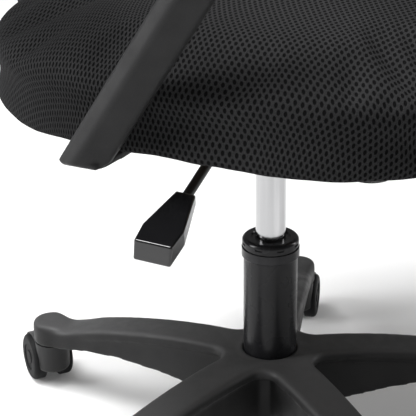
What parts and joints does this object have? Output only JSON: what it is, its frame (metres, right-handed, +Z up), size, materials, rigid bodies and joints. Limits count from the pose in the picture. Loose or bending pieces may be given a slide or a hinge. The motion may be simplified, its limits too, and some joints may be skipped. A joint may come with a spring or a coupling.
{
  "type": "swivel office chair",
  "caption": "Height-adjustable swivel chair with a mesh cushion, loop arms, framed mesh back, gas lift, tilt lever and a five-star base on twin-wheel casters.",
  "frame": {"origin": "on the floor, under the column's axis", "axes": "+Z up; the sitter faces -Y, so the sitter's right hand and the lever are on the -X side"},
  "size_m": [0.5887, 0.5717, 0.9853],
  "materials": {
    "nylon_base": "matte",
    "arm_nylon": "matte, fine grain",
    "black_tube": "gloss",
    "cap_plastic": "gloss",
    "chrome": "polished",
    "bush_plastic": "matte",
    "bearing_steel": "satin",
    "mech_steel": "satin black powder coat",
    "spring_steel": "satin",
    "bolt_steel": "black oxide",
    "lever_steel": "satin",
    "lever_plastic": "semi gloss",
    "plywood": "raw",
    "mesh_fabric": "three-dimensional spacer mesh over foam",
    "back_fabric": "open woven mesh",
    "pad_rubber": "soft matt foam skin",
    "back_nylon": "matte",
    "wheel_nylon": "satin"
  },
  "bodies": {
    "base": {"star_base": "nylon_base", "column_tube": "black_tube", "column_cap": "cap_plastic", "guide_bush": "bush_plastic", "bearing_washer_lower": "bearing_steel", "bearing_balls": "bearing_steel", "caster_stems": "bearing_steel"},
    "lift_rod": {"bearing_washer_upper": "bearing_steel", "piston_rod": "bearing_steel", "rod_clip": "bearing_steel", "piston_head": "bearing_steel"},
    "carriage": {"gas_cylinder": "chrome", "gas_seal": "bush_plastic", "mech_housing": "mech_steel", "tilt_pin": "bearing_steel", "rocker_pin": "bearing_steel", "tilt_spring": "spring_steel"},
    "valve": {"valve_button": "bearing_steel"},
    "rocker": {"valve_rocker": "mech_steel"},
    "lever": {"lever_rod": "lever_steel", "lever_paddle": "lever_plastic"},
    "seat": {"mech_top_plate": "mech_steel", "mech_bolts": "bolt_steel", "seat_board": "plywood", "seat_cushion": "mesh_fabric", "arm_left": "arm_nylon", "arm_right": "arm_nylon", "arm_bolts": "bolt_steel", "arm_pad_left": "pad_rubber", "arm_pad_right": "pad_rubber", "back_frame": "back_nylon", "back_mesh": "back_fabric", "lumbar_bar": "back_nylon", "back_spine": "mech_steel"},
    "tension": {"tension_knob": "lever_plastic", "tension_bolt": "bolt_steel"},
    "spring_follower": {"spring_plate": "mech_steel"},
    "caster_1": {"caster_1_hood": "nylon_base", "caster_1_axle": "bearing_steel"},
    "wheel_1_left": {"caster_1_wheel_left": "wheel_nylon"},
    "wheel_1_right": {"caster_1_wheel_right": "wheel_nylon"},
    "caster_2": {"caster_2_hood": "nylon_base", "caster_2_axle": "bearing_steel"},
    "wheel_2_left": {"caster_2_wheel_left": "wheel_nylon"},
    "wheel_2_right": {"caster_2_wheel_right": "wheel_nylon"},
    "caster_3": {"caster_3_hood": "nylon_base", "caster_3_axle": "bearing_steel"},
    "wheel_3_left": {"caster_3_wheel_left": "wheel_nylon"},
    "wheel_3_right": {"caster_3_wheel_right": "wheel_nylon"},
    "caster_4": {"caster_4_hood": "nylon_base", "caster_4_axle": "bearing_steel"},
    "wheel_4_left": {"caster_4_wheel_left": "wheel_nylon"},
    "wheel_4_right": {"caster_4_wheel_right": "wheel_nylon"},
    "caster_5": {"caster_5_hood": "nylon_base", "caster_5_axle": "bearing_steel"},
    "wheel_5_left": {"caster_5_wheel_left": "wheel_nylon"},
    "wheel_5_right": {"caster_5_wheel_right": "wheel_nylon"}
  },
  "joints": [
    {"name": "seat_swivel", "type": "hinge", "parent": "base", "child": "lift_rod", "pos_m": [0, 0, 0.045], "axis": [0, 0, 1], "continuous": true},
    {"name": "seat_height", "type": "slide", "parent": "lift_rod", "child": "carriage", "axis": [0, 0, 1], "range_m": [-0.085, 0.015]},
    {"name": "seat_tilt", "type": "hinge", "parent": "carriage", "child": "seat", "pos_m": [0, -0.05, 0.368], "axis": [-1, 0, 0], "range_deg": [0, 10], "stiffness_Nm_per_rad": 120, "springref_deg": -20.05, "deforming": ["tilt_spring"]},
    {"name": "valve_press", "type": "slide", "parent": "carriage", "child": "valve", "axis": [0, 0, -1], "range_m": [0, 0.0024], "stiffness_N_per_m": 2000},
    {"name": "lever_lift", "type": "hinge", "parent": "carriage", "child": "rocker", "pos_m": [-0.04832, -0.02326, 0.3545], "axis": [-0.0785, 0.9969, 0], "range_deg": [0, 3], "stiffness_Nm_per_rad": 20, "springref_deg": -2.86},
    {"name": "lever_pull", "type": "slide", "parent": "rocker", "child": "lever", "axis": [-0.9969, -0.0785, 0], "range_m": [0, 0.01]},
    {"name": "tension_turn", "type": "hinge", "parent": "seat", "child": "tension", "pos_m": [0, -0.095, 0.31], "axis": [0, 0, 1], "range_deg": [-1440, 0]},
    {"name": "spring_follow", "type": "slide", "parent": "seat", "child": "spring_follower", "axis": [0, 0, 1], "range_m": [-0.006, 0]},
    {"name": "caster_1_swivel", "type": "hinge", "parent": "base", "child": "caster_1", "pos_m": [0.23206, 0.0754, 0.04], "axis": [0, 0, 1], "continuous": true},
    {"name": "wheel_1_left_roll", "type": "hinge", "parent": "caster_1", "child": "wheel_1_left", "pos_m": [0.25417, 0.08174, 0.0242], "axis": [-0.2756, 0.9613, 0], "continuous": true},
    {"name": "wheel_1_right_roll", "type": "hinge", "parent": "caster_1", "child": "wheel_1_right", "pos_m": [0.25417, 0.08174, 0.0242], "axis": [-0.2756, 0.9613, 0], "continuous": true},
    {"name": "caster_2_swivel", "type": "hinge", "parent": "base", "child": "caster_2", "pos_m": [0, 0.244, 0.04], "axis": [0, 0, 1], "continuous": true},
    {"name": "wheel_2_left_roll", "type": "hinge", "parent": "caster_2", "child": "wheel_2_left", "pos_m": [0.01478, 0.26162, 0.0242], "axis": [-0.766, 0.6428, 0], "continuous": true},
    {"name": "wheel_2_right_roll", "type": "hinge", "parent": "caster_2", "child": "wheel_2_right", "pos_m": [0.01478, 0.26162, 0.0242], "axis": [-0.766, 0.6428, 0], "continuous": true},
    {"name": "caster_3_swivel", "type": "hinge", "parent": "base", "child": "caster_3", "pos_m": [-0.23206, 0.0754, 0.04], "axis": [0, 0, 1], "continuous": true},
    {"name": "wheel_3_left_roll", "type": "hinge", "parent": "caster_3", "child": "wheel_3_left", "pos_m": [-0.24356, 0.09532, 0.0242], "axis": [-0.866, -0.5, 0], "continuous": true},
    {"name": "wheel_3_right_roll", "type": "hinge", "parent": "caster_3", "child": "wheel_3_right", "pos_m": [-0.24356, 0.09532, 0.0242], "axis": [-0.866, -0.5, 0], "continuous": true},
    {"name": "caster_4_swivel", "type": "hinge", "parent": "base", "child": "caster_4", "pos_m": [-0.14342, -0.1974, 0.04], "axis": [0, 0, 1], "continuous": true},
    {"name": "wheel_4_left_roll", "type": "hinge", "parent": "caster_4", "child": "wheel_4_left", "pos_m": [-0.15129, -0.21901, 0.0242], "axis": [0.9397, -0.342, 0], "continuous": true},
    {"name": "wheel_4_right_roll", "type": "hinge", "parent": "caster_4", "child": "wheel_4_right", "pos_m": [-0.15129, -0.21901, 0.0242], "axis": [0.9397, -0.342, 0], "continuous": true},
    {"name": "caster_5_swivel", "type": "hinge", "parent": "base", "child": "caster_5", "pos_m": [0.14342, -0.1974, 0.04], "axis": [0, 0, 1], "continuous": true},
    {"name": "wheel_5_left_roll", "type": "hinge", "parent": "caster_5", "child": "wheel_5_left", "pos_m": [0.16334, -0.2089, 0.0242], "axis": [0.5, 0.866, 0], "continuous": true},
    {"name": "wheel_5_right_roll", "type": "hinge", "parent": "caster_5", "child": "wheel_5_right", "pos_m": [0.16334, -0.2089, 0.0242], "axis": [0.5, 0.866, 0], "continuous": true}
  ],
  "couplings": [
    {"joint": "valve_press", "follows": "lever_lift", "m_per_rad": 0.045837},
    {"joint": "spring_follow", "follows": "tension_turn", "m_per_rad": 0.00023873}
  ]
}
